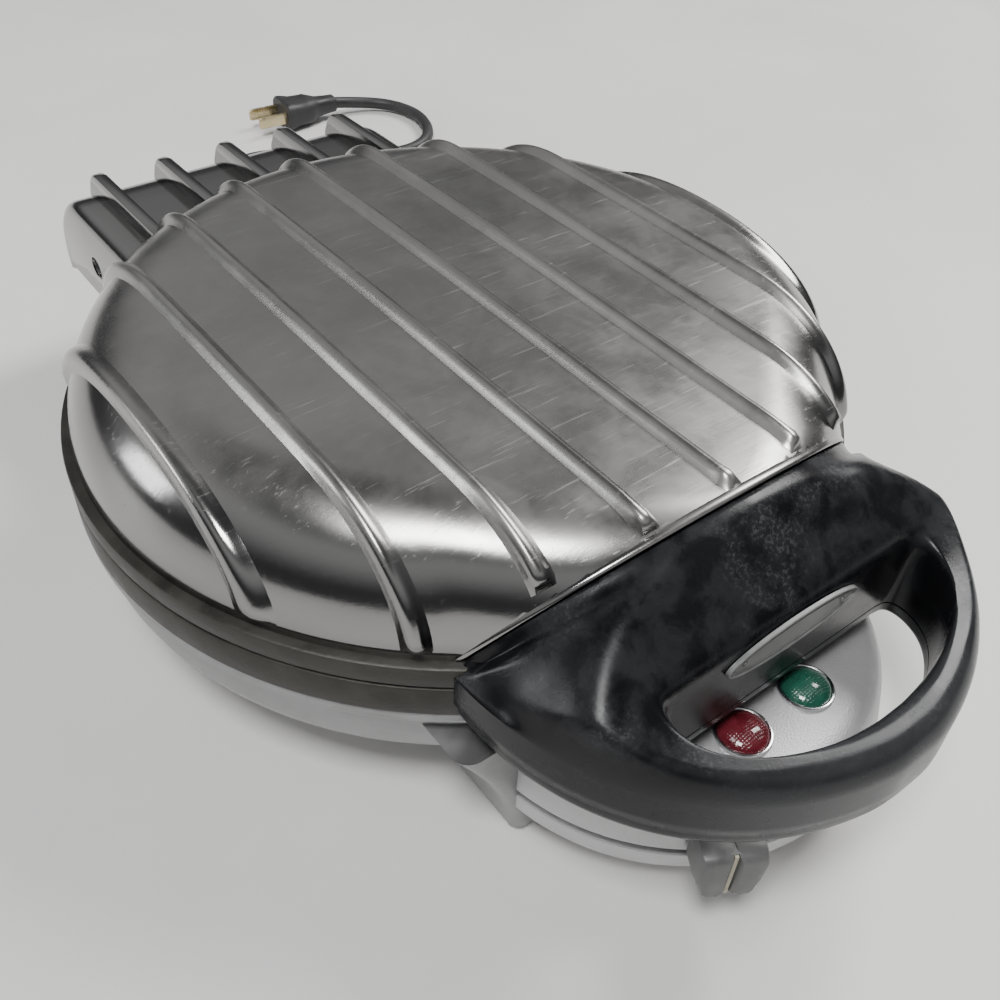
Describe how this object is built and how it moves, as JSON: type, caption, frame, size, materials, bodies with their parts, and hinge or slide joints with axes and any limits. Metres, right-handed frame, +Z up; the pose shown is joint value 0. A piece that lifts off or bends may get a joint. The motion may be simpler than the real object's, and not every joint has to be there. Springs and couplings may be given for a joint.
{
  "type": "belgian waffle maker",
  "caption": "Round electric waffle iron: ribbed cast lid on a rear hinge, black loop handle, deep grids, browning lever, signal lamps, legs and a coiled mains cord.",
  "frame": {"origin": "on the table, under the centre of the round grids", "axes": "+Z up, -Y towards the handle, +Y towards the hinge, +X to the right seen from the handle"},
  "size_m": [0.287, 0.4859, 0.0929],
  "materials": {
    "polished_casting": "polished cast aluminium, fine scratches",
    "black_phenolic": "moulded phenolic, satin, worn patches",
    "steel": "zinc plated",
    "badge": "etched plate with a bright rim",
    "grid_casting": "dark seasoned cast aluminium",
    "element_sheath": "heat-darkened sheath",
    "tin_sheet": "bright sheet",
    "pan_aluminium": "cast aluminium, satin",
    "housing_silver": "silver sparkle lacquer",
    "red_glass": "moulded translucent red",
    "green_glass": "moulded translucent green",
    "chrome_trim": "bright ring",
    "lamp_glass": "small neon tube",
    "switch_body": "ceramic and bakelite",
    "grey_phenolic": "moulded, satin",
    "cream_mark": "painted line",
    "cord_rubber": "black, matt",
    "tie_plastic": "wire tie",
    "brass_blades": "plated blades",
    "foot_rubber": "matt"
  },
  "bodies": {
    "base": {"lower_grid": "grid_casting", "lower_grid_rim": "grid_casting", "lower_heating_element": "element_sheath", "lower_reflector": "tin_sheet", "base_pan": "pan_aluminium", "base_plate": "tin_sheet", "control_housing": "housing_silver", "control_housing_base": "housing_silver", "red_lens": "red_glass", "green_lens": "green_glass", "lamp_bezels": "chrome_trim", "red_neon_lamp": "lamp_glass", "green_neon_lamp": "lamp_glass", "thermostat": "switch_body", "terminal_block": "switch_body", "hinge_pin": "steel", "hinge_bracket_left": "steel", "hinge_bracket_right": "steel", "base_screws": "steel", "cord_boot": "cord_rubber", "cord_lead": "cord_rubber", "cord_coil": "cord_rubber", "cord_tail": "cord_rubber", "cord_tie": "tie_plastic", "plug_body": "cord_rubber", "plug_prongs": "brass_blades", "front_left_leg": "pan_aluminium", "front_left_foot": "foot_rubber", "front_right_leg": "pan_aluminium", "front_right_foot": "foot_rubber", "rear_left_leg": "pan_aluminium", "rear_left_foot": "foot_rubber", "rear_right_leg": "pan_aluminium", "rear_right_foot": "foot_rubber"},
    "lid": {"lid_dome": "polished_casting", "handle_upper": "black_phenolic", "handle_lower": "black_phenolic", "handle_screws": "steel", "badge_plate": "badge", "upper_grid": "grid_casting", "upper_grid_rim": "grid_casting", "upper_heating_element": "element_sheath", "upper_reflector": "tin_sheet", "hinge_cover": "polished_casting"},
    "lever": {"browning_lever": "grey_phenolic", "lever_pointer": "cream_mark", "thermostat_shaft": "steel"}
  },
  "joints": [
    {"name": "lid_hinge", "type": "hinge", "parent": "base", "child": "lid", "pos_m": [0, 0.132, 0.05], "axis": [-1, 0, 0], "range_deg": [0, 95]},
    {"name": "browning_turn", "type": "hinge", "parent": "base", "child": "lever", "pos_m": [0, -0.095, 0.0184], "axis": [0, 0, 1], "range_deg": [-8, 69]}
  ]
}
